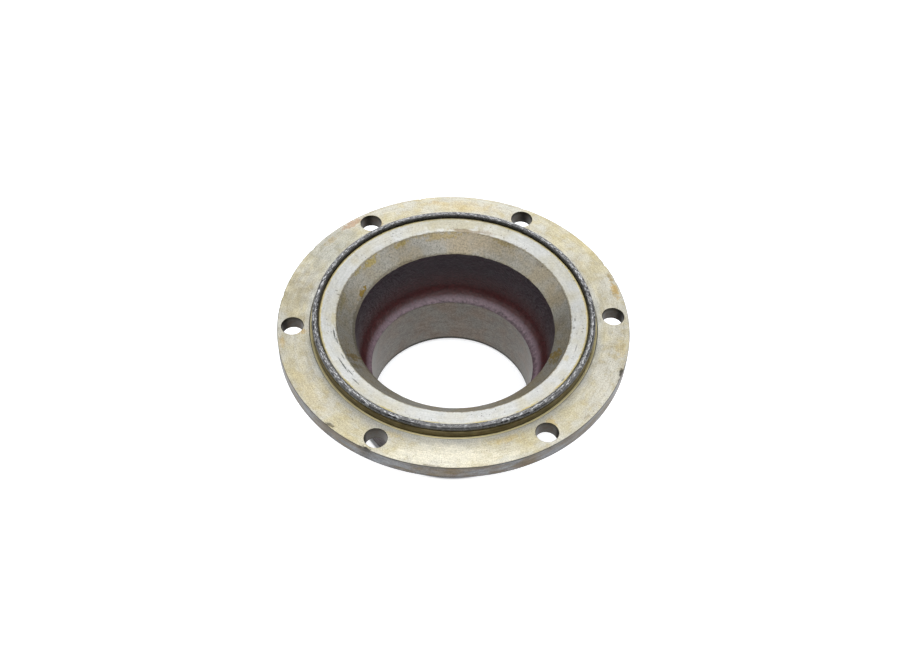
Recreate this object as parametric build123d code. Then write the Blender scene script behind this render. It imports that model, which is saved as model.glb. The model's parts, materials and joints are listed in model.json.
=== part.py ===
"""Cast-iron bearing cap: a round bolted flange, a short spigot with a sealing ring
round its nose, a cored pocket and a bored hub below. Millimetres, +Z up. The origin
is the centre of the flange face that seats on the housing; the hub hangs below it."""

from build123d import *
import os
from math import cos, radians, sin, tan

# flange
FLANGE_R = 81.0
FLANGE_T = 7.2
FLANGE_BREAK = 0.15
BOLT_CIRCLE_R = 74.0
BOLT_COUNT = 6
BOLT_PHASE = 4.24
BOLT_HOLE_R = 5.0
BOLT_HOLE_BREAK = 0.2

# spigot that centres the cap in the housing, with a tool relief at its foot
SPIGOT_R = 65.0
SPIGOT_H = 3.3
SPIGOT_BREAK = 0.3
RELIEF_W = 1.1
RELIEF_DEPTH = 0.3

# nose that the sealing ring sits round; its end face is dished towards the bore
NOSE_R = 61.9
NOSE_H = 4.6
NOSE_BREAK = 0.8
NOSE_INNER_R = 53.9
NOSE_INNER_H = 3.0

# cored pocket, as cast: its core lay a little to +X of the turned axis
LEAD_IN_ANGLE = 45.0
CORE_SHIFT = 0.7
POCKET_MOUTH_R = 46.25
POCKET_FLOOR_R = 44.6
POCKET_FLOOR_Z = -27.1
POCKET_CORNER = 7.0
POCKET_FLOOR_FALL = 4.5

# bored hub
BORE_R = 38.5
BORE_FLARE = 1.0
HUB_BOTTOM_Z = -60.5
HUB_UPPER_R = 53.0
HUB_LOWER_R = 45.5
HUB_STEP_TOP_Z = -34.0
HUB_STEP_BOTTOM_Z = -44.0
HUB_BEND = 8.0
HUB_ROOT = 4.0
HUB_FOOT_CORNER = 1.8

# sealing ring: a round-section rubber ring, a loose fit round the nose
RING_SECTION_R = 1.5
RING_CENTRE_R = 63.45
RING_GAP = 0.03

# how far a cutting tool runs past the faces it cuts
OVERRUN = 5.0


def turned(corners):
    """Ring or disc turned about Z from its section: corners are (radius, height,
    corner rounding), in order round the section."""
    section = make_face(Polyline([(r, z) for r, z, _ in corners], close=True))
    for r, z, rounding in corners:
        if rounding:
            nearest = section.vertices().sort_by_distance(Vector(r, z))[0]
            section = fillet(nearest, rounding)
    return revolve(Plane.XZ * section, Axis.Z)


def lead_in_z(radius):
    """Height of the lead-in cone at a radius."""
    return NOSE_INNER_H - (NOSE_INNER_R - radius) / tan(radians(LEAD_IN_ANGLE))


def machined_blank():
    """The casting as the lathe leaves it, before the pocket and the bolt holes."""
    outside = [
        (BORE_R + BORE_FLARE, HUB_BOTTOM_Z, 0),
        (HUB_LOWER_R, HUB_BOTTOM_Z, HUB_FOOT_CORNER),
        (HUB_LOWER_R, HUB_STEP_BOTTOM_Z, HUB_BEND),
        (HUB_UPPER_R, HUB_STEP_TOP_Z, HUB_BEND),
        (HUB_UPPER_R, -FLANGE_T, HUB_ROOT),
        (FLANGE_R - FLANGE_BREAK, -FLANGE_T, 0),
        (FLANGE_R, FLANGE_BREAK - FLANGE_T, 0),
        (FLANGE_R, -FLANGE_BREAK, 0),
        (FLANGE_R - FLANGE_BREAK, 0, 0),
    ]
    spigot = [
        (SPIGOT_R + RELIEF_W, 0, 0),
        (SPIGOT_R + RELIEF_W, -RELIEF_DEPTH, 0),
        (SPIGOT_R, -RELIEF_DEPTH, 0),
        (SPIGOT_R, SPIGOT_H - SPIGOT_BREAK, 0),
        (SPIGOT_R - SPIGOT_BREAK, SPIGOT_H, 0),
        (NOSE_R, SPIGOT_H, 0),
    ]
    inside = [
        (NOSE_R, NOSE_H, NOSE_BREAK),
        (NOSE_INNER_R, NOSE_INNER_H, 0),
        (BORE_R, lead_in_z(BORE_R), 0),
        (BORE_R, HUB_BOTTOM_Z + BORE_FLARE, 0),
    ]
    return turned(outside + spigot + inside)


def cast_pocket():
    """The pocket's core: slightly tapered, well rounded at its floor corner, with a
    floor that slopes down to the bore like a shoulder."""
    taper = (POCKET_MOUTH_R - POCKET_FLOOR_R) / (lead_in_z(POCKET_MOUTH_R) - POCKET_FLOOR_Z)
    top_r = POCKET_FLOOR_R + taper * (OVERRUN - POCKET_FLOOR_Z)
    fall = POCKET_FLOOR_FALL / (POCKET_FLOOR_R - BORE_R)
    core = turned([
        (0, POCKET_FLOOR_Z - fall * POCKET_FLOOR_R, 0),
        (POCKET_FLOOR_R, POCKET_FLOOR_Z, POCKET_CORNER),
        (top_r, OVERRUN, 0),
        (0, OVERRUN, 0),
    ])
    # a quarter turn keeps the core's seam off the blank's, where the cut would fail
    return Pos(CORE_SHIFT, 0, 0) * Rot(0, 0, 90) * core


def bolt_hole_cutters():
    """One cutter for each bolt hole: the drill and the edge break at both faces."""
    wide = BOLT_HOLE_R + BOLT_HOLE_BREAK
    cutter = turned([
        (0, -FLANGE_T - OVERRUN, 0),
        (wide, -FLANGE_T - OVERRUN, 0),
        (wide, -FLANGE_T, 0),
        (BOLT_HOLE_R, BOLT_HOLE_BREAK - FLANGE_T, 0),
        (BOLT_HOLE_R, -BOLT_HOLE_BREAK, 0),
        (wide, 0, 0),
        (wide, OVERRUN, 0),
        (0, OVERRUN, 0),
    ])
    turns = [radians(BOLT_PHASE + 360 * k / BOLT_COUNT) for k in range(BOLT_COUNT)]
    return [Pos(BOLT_CIRCLE_R * cos(a), BOLT_CIRCLE_R * sin(a), 0) * cutter for a in turns]


def flange_casting():
    """The whole casting: turned blank, less its pocket and its bolt holes."""
    casting = machined_blank() - cast_pocket()
    for cutter in bolt_hole_cutters():
        casting = casting - cutter
    return casting


def sealing_ring():
    """Round-section ring lying on the spigot's shoulder."""
    centre_z = SPIGOT_H + RING_GAP + RING_SECTION_R
    return Pos(0, 0, centre_z) * Torus(RING_CENTRE_R, RING_SECTION_R)


NODES = {"flange_casting": flange_casting, "sealing_ring": sealing_ring}

os.makedirs("parts", exist_ok=True)
for node, make in NODES.items():
    export_step(make(), f"parts/{node}.step")
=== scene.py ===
"""Looks of the cast-iron bearing cap and its sealing ring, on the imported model's frame.

The casting is one closed skin: sections carried round the turned axis, with the cored
pocket round an axis of its own, and the flange's two faces laid as grids round the
bolt holes. Lengths below are millimetres on the part, and MM turns them to metres."""

import json
from types import SimpleNamespace

import bmesh
import bpy
import numpy as np
from mathutils import Matrix, Vector


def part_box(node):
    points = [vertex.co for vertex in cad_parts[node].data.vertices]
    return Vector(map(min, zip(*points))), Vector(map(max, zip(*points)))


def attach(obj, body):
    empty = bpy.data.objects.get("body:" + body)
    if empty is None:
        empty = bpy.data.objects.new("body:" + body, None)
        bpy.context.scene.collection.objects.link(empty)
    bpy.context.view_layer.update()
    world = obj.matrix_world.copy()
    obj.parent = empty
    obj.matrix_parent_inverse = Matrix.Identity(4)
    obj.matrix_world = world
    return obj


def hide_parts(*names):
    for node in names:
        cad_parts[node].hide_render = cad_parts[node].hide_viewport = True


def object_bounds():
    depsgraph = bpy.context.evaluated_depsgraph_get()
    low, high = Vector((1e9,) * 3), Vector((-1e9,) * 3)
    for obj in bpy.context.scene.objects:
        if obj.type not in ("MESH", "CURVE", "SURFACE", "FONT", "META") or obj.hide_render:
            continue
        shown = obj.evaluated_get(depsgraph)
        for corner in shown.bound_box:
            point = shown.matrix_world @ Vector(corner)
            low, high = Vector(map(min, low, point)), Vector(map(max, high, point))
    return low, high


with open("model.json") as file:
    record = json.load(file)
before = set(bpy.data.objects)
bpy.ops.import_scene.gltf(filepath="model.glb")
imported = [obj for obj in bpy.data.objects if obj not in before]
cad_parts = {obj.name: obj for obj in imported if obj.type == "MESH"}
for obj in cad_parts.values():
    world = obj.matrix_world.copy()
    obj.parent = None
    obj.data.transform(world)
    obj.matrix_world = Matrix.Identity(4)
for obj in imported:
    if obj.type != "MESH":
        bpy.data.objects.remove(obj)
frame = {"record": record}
cad_low, cad_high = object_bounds()

MM = 0.001
DEG = np.pi / 180
CASTING, RING = "flange_casting", "sealing_ring"
mounts = {m["name"]: m for m in frame["record"]["mounts"]}
casting_low, casting_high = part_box(CASTING)
ring_low, ring_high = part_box(RING)

# flange
FLANGE_R = casting_high.x / MM
FLANGE_BOTTOM = mounts["bolt_head_face"]["pos_m"][2] / MM
FLANGE_BREAK = 0.15
BOLT_CIRCLE_R = mounts["bolt_circle"]["dims"]["pcd_mm"] / 2
BOLT_COUNT = mounts["bolt_circle"]["dims"]["count"]
BOLT_HOLE_R = mounts["bolt_circle"]["dims"]["hole_r_mm"]
BOLT_PHASE = 4.24 * DEG
BOLT_BREAK = 0.2

# spigot and nose
SPIGOT_R = mounts["housing_spigot"]["dims"]["r_mm"]
SHOULDER_Z = 3.3
SPIGOT_BREAK = 0.3
RELIEF_DEPTH = 0.3
FACE_INNER_R = 66.4  # the flat face ends here, at the tool relief round the spigot
NOSE_R, NOSE_H, NOSE_BREAK = 61.9, 4.6, 0.8
NOSE_INNER_R, NOSE_INNER_H = 53.9, 3.0

# pocket, round the core's own axis
CORE_SHIFT = 0.7
POCKET_MOUTH_R, POCKET_FLOOR_R = 46.25, 44.6
POCKET_FLOOR_Z, POCKET_FLOOR_FALL = -27.1, 4.5
POCKET_CORNER = 7.0

# hub
BORE_R = mounts["shaft_bore"]["dims"]["r_mm"]
BORE_FLARE = 1.0
HUB_BOTTOM = casting_low.z / MM
HUB_UPPER_R, HUB_LOWER_R = 53.0, 45.5
HUB_STEP_TOP, HUB_STEP_BOTTOM = -34.0, -44.0
HUB_ROOT, HUB_BEND, HUB_FOOT_CORNER = 4.0, 8.0, 1.8
TURNED_BACK_R = 59.0  # the back of the flange is turned from here outwards

# sealing ring
RING_SECTION_R = (ring_high.z - ring_low.z) / MM / 2
RING_CENTRE_R = ring_high.x / MM - RING_SECTION_R
RING_CENTRE_Z = (ring_high.z + ring_low.z) / MM / 2
RING_SLACK = 0.022  # room for the ring's wander inside its own box

# grid of the casting's skin: columns round the axis, some of which make the block round
# each bolt hole, rows across the flat face, and rings from a hole to its block's outline
COLUMNS = 576
HOLE_COLUMNS = 18
FACE_ROWS = 18
HOLE_RINGS = 7
WELD = 2e-6  # metres within which the patches' shared points are merged
theta = BOLT_PHASE + 2 * np.pi / COLUMNS * np.arange(COLUMNS)

# finishes of the casting, in the order of its material slots
FACE, RIM, SPIGOT, NOSE, CONE, PAINT, BORE, BACK, DRILLED = range(9)


# ---------------------------------------------------------------- shapes

def waves(points, size, seed, count=28):
    """Smooth noise of about unit height: a sum of cosine waves that run in all
    directions, each about `size` millimetres long."""
    rng = np.random.default_rng(seed)
    way = rng.normal(size=(count, 3))
    way /= np.linalg.norm(way, axis=1)[:, None]
    way *= 2 * np.pi / (size * rng.uniform(0.7, 1.6, count))[:, None]
    phase = rng.uniform(0, 2 * np.pi, count)
    return np.cos(points @ way.T + phase).sum(-1) * np.sqrt(2 / count)


def section(corners, step):
    """Section line through (radius, height, rounding) corners. Straight runs are cut
    into even steps, and a rounding is an arc that touches both of its runs."""
    points = np.array([c[:2] for c in corners], float)
    rounding = [c[2] if len(c) > 2 else 0 for c in corners]
    line = [points[0]]
    for k in range(1, len(points)):
        back = points[k - 1] - points[k]
        back = back / np.linalg.norm(back)
        stop, arc = points[k], []
        if rounding[k]:
            on = points[k + 1] - points[k]
            on = on / np.linalg.norm(on)
            half = np.arccos(np.clip(back @ on, -1, 1)) / 2
            stop = points[k] + back * rounding[k] / np.tan(half)
            middle = points[k] + (back + on) / np.linalg.norm(back + on) * rounding[k] / np.sin(half)
            first = stop - middle
            last = points[k] + on * rounding[k] / np.tan(half) - middle
            swing = np.arccos(np.clip(first @ last / rounding[k] ** 2, -1, 1))
            count = max(3, int(round(swing * rounding[k] / step)))
            t = np.arange(1, count + 1)[:, None] / count
            arc = middle + (first * np.sin((1 - t) * swing) + last * np.sin(t * swing)) / np.sin(swing)
        run = np.linalg.norm(stop - line[-1])
        if run > 1e-6:
            count = max(1, int(round(run / step)))
            t = np.arange(1, count + 1)[:, None] / count
            line.extend(line[-1] * (1 - t) + stop * t)
        line.extend(arc)
    return np.array(line)


def carry(radius, height):
    """Points of a section carried round the turned axis: x = r cos a, y = r sin a."""
    radius, height, turn = np.broadcast_arrays(radius, height, theta[None])
    return np.stack([radius * np.cos(turn), radius * np.sin(turn), height], -1)


def turned(corners, step):
    """A stretch of section carried round the turned axis."""
    line = section(corners, step)
    return carry(line[:, :1], line[:, 1:])


def roughened(grid, depth, size, seed, ends=(1, 1)):
    """A cast wall: the grid moved along its own normal by two sizes of smooth noise,
    fading to nothing over the first and last rows, where machined metal starts. Each
    end that has a 0 in ends doesn't fade."""
    fade_rows = 5
    along = np.gradient(grid, axis=0)
    around = np.roll(grid, -1, 1) - np.roll(grid, 1, 1)
    normal = np.cross(around, along)
    normal /= np.linalg.norm(normal, axis=-1)[..., None]
    rows = np.arange(len(grid))
    fade = (np.clip(rows / fade_rows, 0, 1) ** ends[0]
            * np.clip((len(grid) - 1 - rows) / fade_rows, 0, 1) ** ends[1])
    lumps = waves(grid, size, seed) + 0.45 * waves(grid, size * 0.35, seed + 1)
    return grid + normal * (depth * lumps * fade[:, None])[..., None]


def dent(points):
    """Knocks on the flange's upper edge: each pushes the metal in and down by its depth,
    falling off round the knock as a bell curve. A knock is (angle, size, depth)."""
    knocks = [
        (241.5, 1.1, 0.75), (244.0, 1.3, 0.95), (246.0, 0.8, 0.4), (339.5, 1.0, 0.8),
        (337.0, 0.8, 0.5), (228.0, 0.9, 0.45), (252.5, 0.8, 0.4), (219.0, 1.6, 0.35),
        (301.0, 1.2, 0.3), (276.0, 0.9, 0.25), (171.0, 1.1, 0.35), (28.0, 1.0, 0.4),
        (20.0, 0.8, 0.3), (103.0, 1.0, 0.35), (148.0, 1.2, 0.4), (66.0, 0.9, 0.25),
    ]
    moved = points.copy()
    for angle, size, depth in knocks:
        way = np.array([np.cos(angle * DEG), np.sin(angle * DEG), 0])
        away = np.linalg.norm(points - FLANGE_R * way, axis=-1)
        push = depth * np.exp(-(away / size) ** 2)
        moved -= push[..., None] * (0.7 * way + np.array([0, 0, 0.7]))
    return moved


def flange_face(height):
    """One flat face of the flange. A polar grid, less a block round each bolt hole;
    the block is rings that go evenly from the hole's circle to the block's outline."""
    radius = np.linspace(FACE_INNER_R, FLANGE_R - FLANGE_BREAK, FACE_ROWS + 1)
    grid = carry(radius[:, None], height)
    half, sector = HOLE_COLUMNS // 2, COLUMNS // BOLT_COUNT
    into = np.sign(height - FLANGE_BOTTOM / 2)
    patches = []
    for k in range(BOLT_COUNT):
        plain = (k * sector + np.arange(half, sector - half + 1)) % COLUMNS
        patches.append((grid[:, plain], FACE if into > 0 else BACK, False))
        block = grid[:, (k * sector + np.arange(-half, half + 1)) % COLUMNS]
        outline = np.concatenate(
            [block[0, :-1], block[:-1, -1], block[-1, :0:-1], block[:0:-1, 0]])
        turn = BOLT_PHASE + 2 * np.pi * k / BOLT_COUNT
        centre = BOLT_CIRCLE_R * np.array([np.cos(turn), np.sin(turn), 0])
        centre[2] = height
        spoke = outline - centre
        length = np.linalg.norm(spoke, axis=-1, keepdims=True)
        mouth = centre + spoke / length * (BOLT_HOLE_R + BOLT_BREAK)
        t = (np.arange(HOLE_RINGS + 1) / HOLE_RINGS)[:, None, None]
        rings = mouth * (1 - t) + outline * t
        patches.append((rings, FACE if into > 0 else BACK, True))
    return patches


def hole_walls(top, bottom):
    """The drilled walls: each joins the hole's mouth in one face to its mouth in the
    other, with the edge break at both ends."""
    patches = []
    for (upper, _, closed), (lower, _, _) in zip(top, bottom):
        if not closed:
            continue
        a, b = upper[0], lower[0]
        centre = (a.mean(0) + b.mean(0)) / 2
        axis = np.array([centre[0], centre[1], 0]) * (BOLT_CIRCLE_R / np.hypot(*centre[:2]))
        out = a - axis
        out[:, 2] = 0
        out /= np.linalg.norm(out, axis=1)[:, None]
        depth = np.linspace(-BOLT_BREAK, FLANGE_BOTTOM + BOLT_BREAK, 7)[:, None, None]
        wall = axis + out * BOLT_HOLE_R + depth * np.array([0, 0, 1])
        patches.append((np.concatenate([a[None], wall, b[None]]), DRILLED, True))
    return patches


def pocket():
    """The cored pocket, round an axis that lies CORE_SHIFT to +X of the turned one.
    A circle of radius p round the core's axis is, seen from the turned axis, at
    r = s cos a + sqrt(p^2 - s^2 sin^2 a). Its mouth is where it meets the lead-in cone."""
    lead_in = NOSE_INNER_H - NOSE_INNER_R
    fall = POCKET_FLOOR_FALL / (POCKET_FLOOR_R - BORE_R)
    inner_r = BORE_R + 1.2
    line = section([
        (POCKET_MOUTH_R, lead_in + POCKET_MOUTH_R),
        (POCKET_FLOOR_R, POCKET_FLOOR_Z, POCKET_CORNER),
        (inner_r, POCKET_FLOOR_Z - fall * (POCKET_FLOOR_R - inner_r)),
    ], 1.25)
    radius = line[:, :1]
    edge = carry(POCKET_MOUTH_R, 0.0)[0]
    ripple = 0.04 * waves(edge, 9.0, 5) + 0.02 * waves(edge, 2.5, 6)
    seen = CORE_SHIFT * np.cos(theta) + np.sqrt(radius ** 2 - (CORE_SHIFT * np.sin(theta)) ** 2)
    grid = carry(seen, line[:, 1:])
    mouth_r = seen[0] + ripple
    grid[0] = carry(mouth_r, lead_in + mouth_r)[0]
    grid = roughened(grid, 0.045, 6.0, 11, ends=(1, 0))
    lip_z = grid[-1, :, 2] - fall * (np.hypot(*grid[-1, :, :2].T) - BORE_R)
    lip = carry(BORE_R, lip_z)[0]
    t = np.array([0.5, 1.0])[:, None, None]
    return np.concatenate([grid, grid[-1] * (1 - t) + lip * t])


def casting_patches():
    """All of the casting's skin, as (grid, finish, closes on itself) patches."""
    top, bottom = flange_face(0.0), flange_face(FLANGE_BOTTOM)
    rim_r = FLANGE_R - FLANGE_BREAK
    rim = turned([(rim_r, 0), (FLANGE_R, -FLANGE_BREAK),
                  (FLANGE_R, FLANGE_BOTTOM + FLANGE_BREAK), (rim_r, FLANGE_BOTTOM)], 0.85)
    foot = turned([(FACE_INNER_R, 0), (66.1, -0.22), (65.75, -0.06), (65.4, -0.1),
                   (65.25, -RELIEF_DEPTH), (SPIGOT_R, -RELIEF_DEPTH)], 0.6)
    spigot = turned([(SPIGOT_R, -RELIEF_DEPTH), (SPIGOT_R, SHOULDER_Z - SPIGOT_BREAK),
                     (SPIGOT_R - SPIGOT_BREAK, SHOULDER_Z), (NOSE_R, SHOULDER_Z)], 1.2)
    nose = turned([(NOSE_R, SHOULDER_Z), (NOSE_R, NOSE_H, NOSE_BREAK),
                   (NOSE_INNER_R, NOSE_INNER_H)], 0.8)
    well = pocket()
    t = np.linspace(0, 1, 8)[:, None, None]
    cone = nose[-1] * (1 - t) + well[0] * t
    foot_r = BORE_R + BORE_FLARE
    bottom_z = HUB_BOTTOM + BORE_FLARE
    t = np.linspace(0, 1, 6)[:, None, None]
    bore = well[-1] * (1 - t) + carry(BORE_R, bottom_z)[0] * t
    flare = turned([(BORE_R, bottom_z), (foot_r, HUB_BOTTOM),
                    (HUB_LOWER_R - HUB_FOOT_CORNER, HUB_BOTTOM)], 1.3)
    outside = turned([
        (HUB_LOWER_R - HUB_FOOT_CORNER, HUB_BOTTOM),
        (HUB_LOWER_R, HUB_BOTTOM, HUB_FOOT_CORNER),
        (HUB_LOWER_R, HUB_STEP_BOTTOM, HUB_BEND),
        (HUB_UPPER_R, HUB_STEP_TOP, HUB_BEND),
        (HUB_UPPER_R, FLANGE_BOTTOM, HUB_ROOT),
        (TURNED_BACK_R, FLANGE_BOTTOM)], 2.0)
    back = turned([(TURNED_BACK_R, FLANGE_BOTTOM), (FACE_INNER_R, FLANGE_BOTTOM)], 1.5)
    rings = [(rim, RIM), (foot, FACE), (spigot, SPIGOT), (nose, NOSE), (cone, CONE), (well, PAINT),
             (bore, BORE), (flare, BORE), (roughened(outside, 0.08, 12.0, 21), PAINT), (back, BACK)]
    patches = top + bottom + hole_walls(top, bottom) + [(g, finish, True) for g, finish in rings]
    return [(dent(grid), finish, closed) for grid, finish, closed in patches]


def ring_patch():
    """The sealing ring: a circle of section carried round the axis. Its centre line
    wanders in and out a little, by two cosine waves, because the ring lies loose."""
    columns, rows = 900, 24
    turn = 2 * np.pi * np.arange(columns) / columns
    around = 2 * np.pi * np.arange(rows + 1) / rows
    turn, around = np.meshgrid(turn, around)
    wander = 0.012 * np.cos(3 * turn + 0.6) + 0.008 * np.cos(7 * turn + 2.0)
    section_r = RING_SECTION_R - RING_SLACK
    radius = RING_CENTRE_R + wander + section_r * np.cos(around)
    height = RING_CENTRE_Z + section_r * np.sin(around)
    return [(np.stack([radius * np.cos(turn), radius * np.sin(turn), height], -1), 0, True)]


def skin(name, patches, finishes, sharp_angle):
    """One closed mesh from grids of points: quads between neighbouring rows and columns,
    the patches' shared edges merged, faces turned outwards, and edges that bend by
    more than sharp_angle left crisp."""
    points, faces, slots, base = [], [], [], 0
    for grid, finish, closed in patches:
        rows, columns = grid.shape[:2]
        index = base + np.arange(rows * columns).reshape(rows, columns)
        if closed:
            index = np.concatenate([index, index[:, :1]], 1)
        quads = np.stack([index[:-1, :-1], index[:-1, 1:], index[1:, 1:], index[1:, :-1]], -1)
        points.append(grid.reshape(-1, 3))
        faces.append(quads.reshape(-1, 4))
        slots.append(np.full(len(faces[-1]), finish))
        base += rows * columns
    mesh = bpy.data.meshes.new(name)
    mesh.from_pydata(np.concatenate(points) * MM, [], np.concatenate(faces).tolist())
    mesh.polygons.foreach_set("material_index", np.concatenate(slots).astype(np.int32))
    mesh.polygons.foreach_set("use_smooth", np.ones(len(mesh.polygons), bool))
    solid = bmesh.new()
    solid.from_mesh(mesh)
    bmesh.ops.remove_doubles(solid, verts=solid.verts, dist=WELD)
    bmesh.ops.recalc_face_normals(solid, faces=solid.faces)
    solid.to_mesh(mesh)
    solid.free()
    mesh.set_sharp_from_angle(angle=sharp_angle)
    for finish in finishes:
        mesh.materials.append(finish)
    piece = bpy.data.objects.new(name, mesh)
    bpy.context.scene.collection.objects.link(piece)
    return piece


# ---------------------------------------------------------------- materials

def srgb(code):
    """Linear colour from an sRGB hex code."""
    parts = np.array([int(code[k:k + 2], 16) for k in (1, 3, 5)]) / 255
    linear = np.where(parts <= 0.04045, parts / 12.92, ((parts + 0.055) / 1.055) ** 2.4)
    return (*linear.tolist(), 1.0)


def feed(tree, node, inputs):
    """Sets a node's inputs, each to a value or by a link from another node's output."""
    for socket, value in inputs.items():
        if isinstance(value, bpy.types.NodeSocket):
            tree.links.new(value, node.inputs[socket])
        else:
            node.inputs[socket].default_value = value


def add(tree, kind, inputs=None, out=0, **settings):
    """Adds a node with its settings and inputs, and gives its output numbered out."""
    made = tree.nodes.new("ShaderNode" + kind)
    for key, value in settings.items():
        setattr(made, key, value)
    feed(tree, made, inputs or {})
    return made.outputs[out]


def start(name):
    """A new material with its node tree, and where its point is: at in millimetres,
    radius from the turned axis, height, and outward, the way away from the axis."""
    material = bpy.data.materials.new(name)
    material.use_nodes = True
    tree = material.node_tree
    at = add(tree, "VectorMath", {0: add(tree, "TexCoord", out=3), "Scale": 1 / MM}, operation="SCALE")
    flat = add(tree, "VectorMath", {0: at, 1: (1.0, 1.0, 0.0)}, operation="MULTIPLY")
    return SimpleNamespace(
        material=material, tree=tree, at=at,
        radius=add(tree, "VectorMath", {0: flat}, out=1, operation="LENGTH"),
        height=add(tree, "SeparateXYZ", {0: at}, out=2),
        outward=add(tree, "VectorMath", {0: flat}, operation="NORMALIZE"))


def finish(here, **values):
    """Sets the shader's sockets, with a space in a socket's name written as _, and
    gives the finished material."""
    shader = here.tree.nodes["Principled BSDF"]
    feed(here.tree, shader, {key.replace("_", " "): value for key, value in values.items()})
    return here.material


def lumps(here, size, seed, detail=3.0, at=None):
    """Cloudy pattern from about 0 to 1, its lumps size millimetres across: noise,
    stretched from the narrow range that it keeps to. It lies at the material's own
    point, or at another position."""
    noise = add(here.tree, "TexNoise", {
        "Vector": here.at if at is None else at, "W": seed * 7.3, "Scale": 1 / size, "Detail": detail,
    }, noise_dimensions="4D")
    return add(here.tree, "MapRange", {"Value": noise, "From Min": 0.3, "From Max": 0.7}, clamp=False)


def drawn(here, across, along, circle, seed, detail=3.0):
    """Lumps drawn out into the marks of a lathe tool, across millimetres wide and along
    millimetres long on a circle of radius circle. Their position is the way outward
    times circle / along, raised by (radius + height) / across."""
    step = add(here.tree, "Math", {0: here.radius, 1: here.height}, operation="ADD")
    step = add(here.tree, "Math", {0: step, 1: 1 / across}, operation="MULTIPLY")
    rise = add(here.tree, "CombineXYZ", {2: step})
    turn = add(here.tree, "VectorMath", {0: here.outward, "Scale": circle / along}, operation="SCALE")
    place = add(here.tree, "VectorMath", {0: turn, 1: rise}, operation="ADD")
    return lumps(here, 1.0, seed, detail, at=place)


def film(here, under, code, pattern, low, high, share=1.0):
    """A colour laid over another where a pattern passes from low to high, so thick that
    at most share of it hides what's under."""
    cover = add(here.tree, "MapRange", {
        "Value": pattern, "From Min": low, "From Max": high, "To Max": share,
    }, interpolation_type="SMOOTHSTEP")
    return add(here.tree, "Mix", {0: cover, 6: under, 7: srgb(code)}, out=2, data_type="RGBA")


def mottled(here, under, pattern, dark, light):
    """A colour made darker and lighter by the low and high parts of a pattern."""
    shade = add(here.tree, "MapRange", {
        "Value": pattern, "From Max": 0.95, "To Min": dark, "To Max": light,
    }, interpolation_type="SMOOTHSTEP")
    grey = add(here.tree, "CombineXYZ", {0: shade, 1: shade, 2: shade})
    return add(here.tree, "Mix", {0: 1.0, 6: under, 7: grey}, out=2,
               data_type="RGBA", blend_type="MULTIPLY")


def stained(here, under, stains, size=2.5, ragged=0.7):
    """Soft torn patches, each (angle, radius, length round the axis, width across it,
    colour, share). A patch covers where the distance in its own ellipse, torn by lumps,
    is under 1. Its ellipse has no end in height, so that it stains walls as well."""
    tree, endless = here.tree, 1e5
    torn = add(tree, "Math", {0: lumps(here, size, 5), 1: ragged, 2: -ragged / 2},
               operation="MULTIPLY_ADD")
    for angle, radius, long, wide, code, share in stains:
        centre = (radius * float(np.cos(angle * DEG)), radius * float(np.sin(angle * DEG)), 0.0)
        inside = add(tree, "Mapping", {
            "Vector": here.at, "Location": centre, "Rotation": (0, 0, angle * DEG),
            "Scale": (wide, long, endless),
        }, vector_type="TEXTURE")
        away = add(tree, "VectorMath", {0: inside}, out=1, operation="LENGTH")
        away = add(tree, "Math", {0: away, 1: torn}, operation="ADD")
        under = film(here, under, code, away, 1.0, 0.35, share)
    return under


def torn_radius(here, size, seed, spread):
    """Radius from the turned axis, moved in and out by lumps over a band spread
    millimetres wide, so that a film which it bounds has a torn edge."""
    torn = add(here.tree, "Math", {0: lumps(here, size, seed), 1: spread, 2: -spread / 2},
               operation="MULTIPLY_ADD")
    return add(here.tree, "Math", {0: here.radius, 1: torn}, operation="ADD")


def relief(here, layers):
    """Surface relief from (pattern, depth in millimetres) layers, each on the last."""
    normal = None
    for pattern, depth in layers:
        inputs = {"Height": pattern, "Distance": depth * MM}
        if normal:
            inputs["Normal"] = normal
        normal = add(here.tree, "Bump", inputs)
    return normal


def across_marks(here):
    """Direction in the surface that crosses the lathe's marks: the normal crossed with
    the way round the axis. A turned surface spreads its shine this way."""
    round_axis = add(here.tree, "VectorMath", {0: (0, 0, 1), 1: here.outward}, operation="CROSS_PRODUCT")
    normal = add(here.tree, "NewGeometry", out=1)
    return add(here.tree, "VectorMath", {0: normal, 1: round_axis}, operation="CROSS_PRODUCT")


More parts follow.
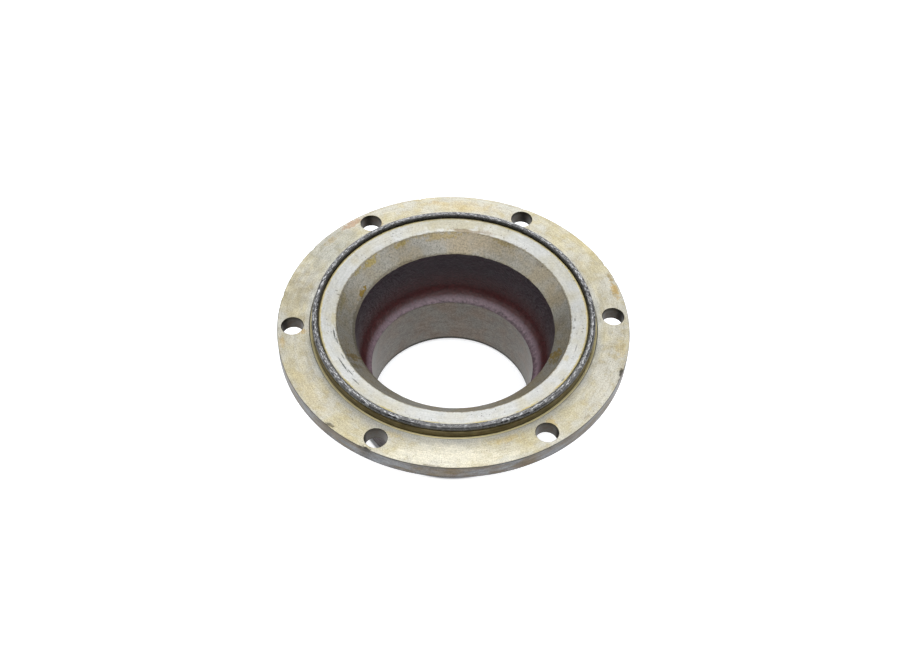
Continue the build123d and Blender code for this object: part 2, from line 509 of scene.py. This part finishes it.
def turned_face():
    """Turned flange face: pale bare iron under a yellowed film of old oil, in clouds and arcs,
    with fine dark pores and a few rust stains, and broad patches of painted shade on its
    left side and of painted light at its front. The tool's marks are 0.25 mm apart; they're
    drawn at 0.6 mm, to show."""
    here = start("turned_grey_iron_face")
    marks = drawn(here, 0.6, 8, 73, 1)
    fine = drawn(here, 0.25, 1.2, 73, 2, 1.0)
    grain = lumps(here, 0.55, 3, 2.0)
    blots = lumps(here, 4.0, 4)
    colour = film(here, srgb("#B2AFA3"), "#B2AB91", lumps(here, 15.0, 5), 0.2, 0.8)
    colour = film(here, colour, "#B2A681", blots, 0.45, 1.05, 0.55)
    colour = film(here, colour, "#B0B0A9", drawn(here, 3.0, 10, 73, 6), 0.5, 0.9, 0.4)
    # painted shade and painted light: of the first four patches, the three grey ones darken the left
    # side and the pale one lightens the front, as the light falls across the face; the other patches are
    # oil stains
    colour = stained(here, colour, [
        (143, 74.0, 24.0, 10.0, "#92938B", 0.5), (170, 74.0, 18.0, 10.0, "#989384", 0.4),
        (205, 74.0, 30.0, 9.0, "#A6A190", 0.3), (270, 74.5, 34.0, 9.0, "#C9C5B4", 0.7),
        (215, 76.0, 22.0, 5.0, "#B4A576", 0.35), (87, 74.0, 16.0, 5.0, "#B09C6A", 0.35),
        (40, 79.0, 16.0, 2.6, "#AE9F6C", 0.35),
    ], size=5.0)
    colour = stained(here, colour, [
        (130, 78.8, 8.0, 2.4, "#9A7454", 0.55), (122, 73.0, 3.0, 6.0, "#A28A5C", 0.4),
        (141, 77.5, 5.0, 2.0, "#9C8658", 0.4), (16, 78.6, 7.0, 2.0, "#A98A44", 0.65),
        (22, 79.4, 3.0, 1.2, "#8C7A4C", 0.6), (187, 69.5, 2.4, 3.4, "#A98C46", 0.65),
        (191, 79.0, 4.0, 2.0, "#AA9058", 0.45), (308, 70.0, 2.5, 5.0, "#B0964E", 0.5),
        (290, 69.5, 9.0, 2.5, "#B49E5E", 0.4), (249, 69.0, 7.0, 2.0, "#B4A064", 0.4),
        # painted shade: the first patch on the next line, grey on the left side, darkens that side
        (155, 72.0, 12.0, 5.0, "#97968E", 0.4), (318, 79.0, 3.0, 1.2, "#8E8672", 0.5),
        (98, 77.0, 3.0, 2.0, "#A8905A", 0.4), (33, 70.5, 4.0, 2.0, "#A99E82", 0.5),
        (350, 77.5, 7.0, 3.0, "#A89664", 0.45), (3, 67.6, 2.6, 0.5, "#857C66", 0.5),
        (229, 80.0, 3.4, 1.3, "#4E483D", 0.8), (243.5, 80.3, 3.4, 0.8, "#2E2B27", 0.95),
        (340, 80.2, 3.0, 1.2, "#3C3933", 0.9), (264, 80.4, 6.0, 0.6, "#6A655A", 0.6),
    ], size=1.6, ragged=0.9)
    wiped = add(here.tree, "MapRange", {
        "Value": lumps(here, 9.0, 7, 2.0),
        "From Min": 0.1, "From Max": 0.75, "To Min": 0.35, "To Max": 0.85})
    colour = film(here, colour, "#B2B2AB", here.radius, 69.8, 66.9, wiped)
    colour = mottled(here, colour, marks, 0.90, 1.05)
    colour = mottled(here, colour, fine, 0.94, 1.03)
    colour = mottled(here, colour, grain, 0.78, 1.13)
    colour = film(here, colour, "#4E4632", lumps(here, 0.8, 8, 1.0), 0.93, 1.12, 0.75)
    colour = film(here, colour, "#6B6960", here.radius, 80.5, 80.9, 0.5)
    colour = film(here, colour, "#6E6D67", here.radius, 66.4, 66.2, 0.8)
    colour = film(here, colour, "#BCB289", here.radius, 66.0, 65.85)
    rough = add(here.tree, "MapRange", {
        "Value": blots, "From Min": 0.25, "From Max": 0.9, "To Min": 0.42, "To Max": 0.54})
    return finish(here, Base_Color=colour, Metallic=0.9, Roughness=rough, Anisotropic=0.75,
                  Tangent=across_marks(here), Normal=relief(here, [(fine, 0.008), (grain, 0.008)]))


def turned_rim():
    """Rim of the flange: duller turned iron, rust-brown in patches drawn out round it,
    darker along both edges."""
    here = start("turned_grey_iron_rim")
    streaks = drawn(here, 0.7, 5, 81, 12)
    grain = lumps(here, 0.6, 13, 2.0)
    colour = film(here, srgb("#747576"), "#696155", drawn(here, 3.0, 11, 81, 11), 0.35, 0.85)
    colour = film(here, colour, "#65513A", drawn(here, 1.3, 6, 81, 14), 0.75, 1.05, 0.5)
    colour = stained(here, colour, [
        (268, 81.0, 14.0, 9.0, "#66573C", 0.45), (295, 81.0, 6.0, 9.0, "#66573C", 0.35),
        (247, 81.0, 5.0, 9.0, "#74787C", 0.4),
    ])
    colour = mottled(here, colour, streaks, 0.78, 1.18)
    colour = mottled(here, colour, grain, 0.8, 1.12)
    colour = stained(here, colour, [
        (243.5, 81.0, 3.4, 9.0, "#2E2B27", 0.35), (229, 81.0, 3.0, 9.0, "#3A372F", 0.25),
        (340, 81.0, 2.6, 9.0, "#3C3933", 0.35),
    ], size=1.2)
    colour = film(here, colour, "#38383A", here.height, -6.2, -6.9, 0.7)
    colour = film(here, colour, "#3C3B38", here.height, -0.8, -0.35, 0.6)
    return finish(here, Base_Color=colour, Metallic=0.9, Roughness=0.48, Anisotropic=0.4,
                  Tangent=across_marks(here), Normal=relief(here, [(streaks, 0.012)]))


def oiled_spigot():
    """Spigot's wall: turned iron under thick brown oil, with painted shade that makes it darkest at its
    foot.
    """
    here = start("oil_browned_iron_spigot")
    streaks = drawn(here, 1.2, 5, 65, 21)
    colour = film(here, srgb("#564C2D"), "#6E6240", streaks, 0.12, 0.88)
    # painted shade: darkest at the wall's foot, over the relief groove
    colour = film(here, colour, "#2A2413", here.height, 0.9, 0.25, 0.75)
    colour = mottled(here, colour, lumps(here, 0.7, 22, 2.0), 0.85, 1.1)
    return finish(here, Base_Color=colour, Metallic=0.6, Roughness=0.42,
                  Normal=relief(here, [(streaks, 0.012)]))


def bright_nose():
    """End face of the nose: bright, nearly white turned iron with an oil-yellow outer
    edge, light scratches, small pits and brown smudges where it meets the lead-in. Handling
    has wiped most of the oil from the front of that edge."""
    here = start("bright_turned_iron_nose")
    marks = drawn(here, 0.7, 7, 58, 31)
    fine = drawn(here, 0.25, 1.0, 58, 32, 1.0)
    grain = lumps(here, 0.6, 33, 2.0)
    torn = torn_radius(here, 1.4, 36, 0.64)
    colour = film(here, srgb("#B5B6B4"), "#B0ADA0", lumps(here, 11.0, 34), 0.3, 0.95)
    colour = film(here, colour, "#9E9B8C", lumps(here, 3.0, 35), 0.75, 1.05, 0.4)
    colour = film(here, colour, "#AEA170", torn, 60.5, 61.1, 0.9)
    wiped_clean = [(angle, 61.3, long, 1.3, "#B2B2AD", share) for angle, long, share in (
        (212, 12.0, 0.7), (232, 13.0, 0.85), (252, 13.0, 0.85),
        (272, 13.0, 0.85), (292, 13.0, 0.85), (312, 12.0, 0.7))]
    colour = stained(here, colour, wiped_clean)
    colour = film(here, colour, "#77705E", torn, 54.6, 54.0, 0.8)
    colour = stained(here, colour, [
        (90, 58.0, 26.0, 5.5, "#A09A80", 0.65),
        (84, 54.6, 11.0, 1.3, "#705E48", 0.6), (74, 55.4, 5.0, 1.6, "#7C6E5C", 0.35),
        (336, 55.5, 2.5, 1.8, "#ABA07C", 0.5), (184, 55.0, 6.0, 1.6, "#AEA684", 0.5),
    ])
    colour = stained(here, colour, [
        (193, 55.3, 5.0, 0.5, "#4A4B48", 0.9), (197, 54.8, 3.0, 0.4, "#4A4B48", 0.8),
        (212, 57.2, 6.0, 0.5, "#484946", 0.9), (217, 56.6, 3.0, 0.4, "#4E4F4C", 0.8),
        (223, 57.8, 3.5, 0.45, "#565754", 0.8), (207, 55.2, 2.5, 0.4, "#5A5B58", 0.7),
        (168, 55.0, 0.6, 1.2, "#65625A", 0.7), (166, 56.5, 0.5, 1.0, "#65625A", 0.6),
        (324, 60.4, 1.6, 0.5, "#5E6468", 0.7),
        (257, 60.6, 0.5, 0.7, "#54545A", 0.7), (0, 55.6, 1.4, 0.6, "#5A5C58", 0.7),
        (343, 58.0, 3.0, 0.3, "#6A6C6A", 0.6), (355, 55.2, 1.0, 0.7, "#5A5A56", 0.6),
        (65, 60.0, 0.5, 0.8, "#6E6C66", 0.6), (143, 58.5, 0.8, 1.4, "#8A8A84", 0.5),
    ], size=0.9, ragged=0.4)
    worn = add(here.tree, "MapRange", {
        "Value": lumps(here, 14.0, 38, 1.0),
        "From Min": 0.3, "From Max": 0.75, "To Min": 0.25, "To Max": 0.9})
    colour = film(here, colour, "#54534E", lumps(here, 0.9, 37, 1.0), 0.95, 1.1, worn)
    colour = mottled(here, colour, marks, 0.91, 1.04)
    colour = mottled(here, colour, fine, 0.95, 1.02)
    colour = mottled(here, colour, grain, 0.86, 1.04)
    return finish(here, Base_Color=colour, Metallic=0.9, Roughness=0.46, Anisotropic=0.75,
                  Tangent=across_marks(here), Normal=relief(here, [(fine, 0.008), (grain, 0.006)]))


def bored_lead_in():
    """Lead-in cone: bored iron, warm grey, with yellow-brown oil and rust patches and
    open pores 1 mm across."""
    here = start("bored_iron_lead_in")
    marks = drawn(here, 1.1, 6, 50, 41)
    grain = lumps(here, 0.7, 42, 2.0)
    torn = torn_radius(here, 1.2, 45, 0.96)
    colour = film(here, srgb("#94928A"), "#928975", lumps(here, 10.0, 43), 0.25, 0.88)
    colour = stained(here, colour, [
        (85, 50.0, 20.0, 5.0, "#A09684", 0.4), (142, 50.0, 14.0, 6.0, "#84837B", 0.45),
        (40, 50.0, 15.0, 6.0, "#888375", 0.35), (3, 49.0, 4.0, 4.0, "#7C7466", 0.4),
    ])
    colour = stained(here, colour, [
        (98, 52.6, 15.0, 1.8, "#958454", 0.6), (64, 53.2, 7.0, 1.3, "#85764A", 0.6),
        (120, 52.8, 5.0, 1.4, "#8E7E44", 0.7), (140, 52.6, 6.0, 1.7, "#928348", 0.75),
        (150, 53.2, 4.0, 1.0, "#8C7E48", 0.6), (156, 47.2, 5.0, 1.1, "#7F6824", 0.9),
        (206, 49.5, 3.4, 4.6, "#78632A", 0.75), (213, 51.5, 2.2, 3.0, "#70602E", 0.6),
        (340, 49.3, 4.2, 3.6, "#8A7432", 0.8), (334, 51.0, 2.8, 2.4, "#7C6C36", 0.6),
        (42, 53.0, 3.0, 1.2, "#6E675A", 0.5), (172, 52.5, 8.0, 1.2, "#837A52", 0.5),
    ], size=1.6, ragged=1.2)
    colour = film(here, colour, "#6C6450", torn, 53.2, 54.2, 0.7)
    colour = film(here, colour, "#5E5646", torn, 47.2, 46.2, 0.6)
    colour = mottled(here, colour, marks, 0.93, 1.05)
    colour = mottled(here, colour, grain, 0.76, 1.16)
    colour = film(here, colour, "#3E3C36", lumps(here, 1.0, 44, 1.0), 0.95, 1.12, 0.65)
    return finish(here, Base_Color=colour, Metallic=0.85, Roughness=0.5, Anisotropic=0.3,
                  Tangent=across_marks(here), Normal=relief(here, [(grain, 0.012)]))


def red_oxide():
    """Red-oxide primer brushed on the cast wall. Painted shade makes it nearly black plum high
    in the pocket and redder below; the shoulder is mauve with dust and a painted sheen, with
    a painted highlight along its middle; painted shade darkens the outside of the hub. The
    sand's grain, about 1 mm, shows through as a sparkle."""
    here = start("red_oxide_primer_on_casting")
    sand = lumps(here, 1.1, 51)
    grit = lumps(here, 0.5, 52, 2.0)
    clouds = lumps(here, 7.0, 53)
    # painted shade: nearly black high in the pocket, redder lower down
    colour = film(here, srgb("#21131C"), "#371718", here.height, -12.0, -26.0)
    colour = film(here, colour, "#2E1A1D", clouds, 0.38, 1, 0.4)
    # dust and painted light by height, its edges broken up by the sand: the mauve band is partly
    # dust and partly painted sheen, its lighter middle is a painted highlight and its darker lower
    # edge painted shade; past the shoulder's radius the height is counted 40 mm higher, which
    # keeps all three off the hub's outside
    dust_and_painted_light_height = add(here.tree, "Math", {0: sand, 1: 0.64, 2: here.height}, operation="MULTIPLY_ADD")
    past_shoulder = add(here.tree, "MapRange", {
        "Value": here.radius, "From Min": 43.0, "From Max": 44.0, "To Max": 40.0})
    dust_and_painted_light_height = add(here.tree, "Math", {0: dust_and_painted_light_height, 1: past_shoulder}, operation="ADD")
    colour = film(here, colour, "#5C4A51", dust_and_painted_light_height, -28.4, -29.5, 0.9)
    colour = film(here, colour, "#706068", dust_and_painted_light_height, -29.4, -30.1, 0.6)
    colour = film(here, colour, "#483A40", dust_and_painted_light_height, -30.5, -31.3, 0.8)
    # painted shade on the hub's outside, under the flange: this sum is below 52 on all of
    # the pocket and above 54 on all of the hub's outside
    outer = add(here.tree, "Math", {0: here.height, 1: -0.25, 2: here.radius}, operation="MULTIPLY_ADD")
    colour = film(here, colour, "#1B1214", outer, 52.6, 54.4, 0.7)
    colour = mottled(here, colour, sand, 0.7, 1.25)
    return finish(here, Base_Color=colour, Metallic=0.0, Roughness=0.4, Specular_IOR_Level=0.3,
                  Normal=relief(here, [(sand, 0.14), (grit, 0.032)]))


def bored_iron():
    """Bored wall of the hub: grey turned iron, warm in clouds, darker towards its lower end."""
    here = start("bored_grey_iron")
    marks = drawn(here, 1.2, 6, 38.5, 61)
    grain = lumps(here, 0.6, 62, 2.0)
    colour = film(here, srgb("#6C6862"), "#6C6259", lumps(here, 9.0, 63), 0.25, 0.9)
    colour = film(here, colour, "#62574E", lumps(here, 3.0, 64), 0.5, 1.05, 0.35)
    colour = film(here, colour, "#262826", here.height, -57.6, -58.8, 0.85)
    colour = film(here, colour, "#3A3431", here.height, -32.3, -31.6, 0.45)
    colour = mottled(here, colour, marks, 0.88, 1.1)
    colour = mottled(here, colour, grain, 0.75, 1.18)
    return finish(here, Base_Color=colour, Metallic=0.85, Roughness=0.42, Anisotropic=0.4,
                  Tangent=across_marks(here), Normal=relief(here, [(marks, 0.012)]))


def drilled_iron():
    """Walls of the bolt holes: drilled iron, dark brown-grey, nearly black at the upper end,
    and ringed by the drill."""
    here = start("drilled_iron_hole_walls")
    rings = lumps(here, 0.5, 71, 2.0, at=add(here.tree, "CombineXYZ", {2: here.height}))
    colour = film(here, srgb("#3E3B36"), "#3A3127", lumps(here, 2.0, 72), 0.25, 0.88)
    colour = film(here, colour, "#1F1B0C", here.height, -2.6, -0.6, 0.85)
    colour = mottled(here, colour, rings, 0.85, 1.1)
    return finish(here, Base_Color=colour, Metallic=0.8, Roughness=0.4,
                  Normal=relief(here, [(rings, 0.016)]))


def turned_back():
    """Back of the flange: turned bare iron, darker than the front, with brown clouds."""
    here = start("turned_grey_iron_back")
    marks = drawn(here, 0.8, 8, 73, 81)
    grain = lumps(here, 0.6, 82, 2.0)
    colour = film(here, srgb("#94928B"), "#968B72", lumps(here, 14.0, 83), 0.25, 0.88)
    colour = film(here, colour, "#7E6A50", lumps(here, 5.0, 84), 0.75, 1.1, 0.5)
    colour = mottled(here, colour, marks, 0.88, 1.05)
    colour = mottled(here, colour, grain, 0.86, 1.04)
    return finish(here, Base_Color=colour, Metallic=0.9, Roughness=0.48, Anisotropic=0.7,
                  Tangent=across_marks(here), Normal=relief(here, [(marks, 0.012)]))


def nitrile_rubber():
    """Sealing ring: black rubber, scuffed and greasy, so that its shine breaks up into short
    bright strokes about 2 mm long; its pale scuff marks are partly painted glints. Painted shade
    makes its inner side, in the gap against the nose, nearly black, and darkens its outer side and its
    front."""
    here = start("black_nitrile_rubber")
    strokes = drawn(here, 0.45, 1.8, 63, 91)
    scuffs_and_glints = drawn(here, 0.32, 1.8, 63, 93, 2.0)
    grime = lumps(here, 2.5, 92)
    colour = film(here, srgb("#252528"), "#505052", grime, 0.38, 1)
    # pale scuff marks, partly real wear and partly painted glints along the ring's top
    colour = film(here, colour, "#C8CACC", scuffs_and_glints, 0.54, 0.85, 0.85)
    # painted shade: the front of the ring darker
    colour = stained(here, colour, [(270, 63.4, 120.0, 4.0, "#242426", 0.45)])
    # painted shade: the ring's outer, lower side darker
    colour = film(here, colour, "#1A1A1A", here.radius, 63.8, 64.5, 0.75)
    # painted shade: the inner side, in the gap against the nose, nearly black
    colour = film(here, colour, "#121210", here.radius, 62.9, 62.3, 0.95)
    rough = add(here.tree, "MapRange", {
        "Value": grime, "From Min": 0.1, "From Max": 0.9, "To Min": 0.2, "To Max": 0.36})
    grease = add(here.tree, "MapRange", {
        "Value": here.radius, "From Min": 62.3, "From Max": 62.9, "To Min": 0.1, "To Max": 0.8})
    return finish(here, Base_Color=colour, Metallic=0.0, Roughness=rough,
                  Coat_Weight=grease, Coat_Roughness=0.12,
                  Normal=relief(here, [(strokes, 0.18), (scuffs_and_glints, 0.048)]))


def lit_board():
    """Stage: a pale diffusing board lit from underneath, which burns out to plain white except
    close round the hub's foot, where it is dark as a painted contact shadow, and inside the
    foot, where it glows less as painted shade."""
    here = start("lit_pale_board")
    colour = mottled(here, srgb("#C6C8CC"), lumps(here, 3.0, 99, 2.0), 0.985, 1.0)
    # painted shadow: the board gives no light close round the hub's foot, as a contact shadow, and less
    # inside the foot, as painted shade
    foot_r = 45.0
    away = add(here.tree, "Math", {0: here.radius, 1: foot_r}, operation="SUBTRACT")
    away = add(here.tree, "Math", {0: away}, operation="ABSOLUTE")
    glow_with_painted_shadow = add(here.tree, "MapRange", {"Value": away, "From Min": 1.0, "From Max": 2.2, "To Max": 0.8},
               interpolation_type="SMOOTHSTEP")
    inside = add(here.tree, "MapRange", {
        "Value": here.radius, "From Min": 40.0, "From Max": foot_r, "To Min": 0.76})
    glow_with_painted_shadow = add(here.tree, "Math", {0: glow_with_painted_shadow, 1: inside}, operation="MULTIPLY")
    return finish(here, Base_Color=colour, Roughness=0.9, Emission_Color=(1.0, 1.0, 1.0, 1.0),
                  Emission_Strength=glow_with_painted_shadow)


# ---------------------------------------------------------------- camera and stage

def make_camera():
    """Looks down on the flange from the front, turned a little about its own view.
    Its distance, and what it is centred on, are in flange radii."""
    distance, aside, below = 7.624, -0.0186, -0.0771
    elevation, roll = 50.6 * DEG, -1.595 * DEG
    back = Vector((0, -np.cos(elevation), np.sin(elevation)))
    across = Vector((1, 0, 0))
    up = back.cross(across)
    centre = (across * aside + up * below) * FLANGE_R * MM
    rolled_across = across * np.cos(roll) - up * np.sin(roll)
    rolled_up = across * np.sin(roll) + up * np.cos(roll)
    turn = Matrix((rolled_across, rolled_up, back)).transposed()
    camera = bpy.data.objects.new("camera", bpy.data.cameras.new("camera"))
    bpy.context.scene.collection.objects.link(camera)
    camera.matrix_world = Matrix.Translation(centre + back * (distance * FLANGE_R * MM)) @ turn.to_4x4()
    camera.data.sensor_width = 36
    camera.data.lens = 53.64
    camera.data.clip_end = 40
    bpy.context.scene.camera = camera


def make_floor():
    """A wide pale lit board, just under the hub's foot."""
    reach, gap = 15.0, 0.0002
    corners = [(-reach, -reach), (reach, -reach), (reach, reach), (-reach, reach)]
    mesh = bpy.data.meshes.new("floor")
    mesh.from_pydata([(x, y, cad_low.z - gap) for x, y in corners], [], [(0, 1, 2, 3)])
    mesh.materials.append(lit_board())
    floor = bpy.data.objects.new("floor", mesh)
    bpy.context.scene.collection.objects.link(floor)


def make_lights():
    """Square softboxes that face the part, one overhead and one on each side, given as
    (name, place, width, watts), in a dim white room."""
    softboxes = [
        ("overhead_softbox", (0.0, -0.25, 1.3), 1.3, 16.4),
        ("back_softbox", (0.0, 1.15, 0.95), 1.2, 12.3),
        ("left_softbox", (-1.2, 0.0, 0.95), 1.2, 9.6),
        ("right_softbox", (1.2, 0.0, 0.95), 1.2, 10.3),
        ("front_softbox", (0.0, -1.15, 0.95), 1.2, 4.4),
    ]
    for name, place, width, watts in softboxes:
        light = bpy.data.objects.new(name, bpy.data.lights.new(name, "AREA"))
        bpy.context.scene.collection.objects.link(light)
        light.data.shape = "SQUARE"
        light.data.size = width
        light.data.energy = watts
        light.location = place
        light.rotation_mode = "QUATERNION"
        light.rotation_quaternion = Vector(place).to_track_quat("Z", "Y")
    room = bpy.data.worlds.new("room")
    room.use_nodes = True
    feed(room.node_tree, room.node_tree.nodes["Background"], {"Color": (1, 1, 1, 1), "Strength": 0.04})
    bpy.context.scene.world = room
    bpy.context.scene.view_settings.view_transform = "Standard"


# ---------------------------------------------------------------- the object

casting_finishes = [turned_face(), turned_rim(), oiled_spigot(), bright_nose(), bored_lead_in(),
                    red_oxide(), bored_iron(), turned_back(), drilled_iron()]
casting = skin("bearing_cap_casting", casting_patches(), casting_finishes, 24 * DEG)
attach(casting, "root")
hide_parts(CASTING)

seal = skin("round_section_seal", ring_patch(), [nitrile_rubber()], 60 * DEG)
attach(seal, "root")
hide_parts(RING)

make_floor()
make_lights()
make_camera()
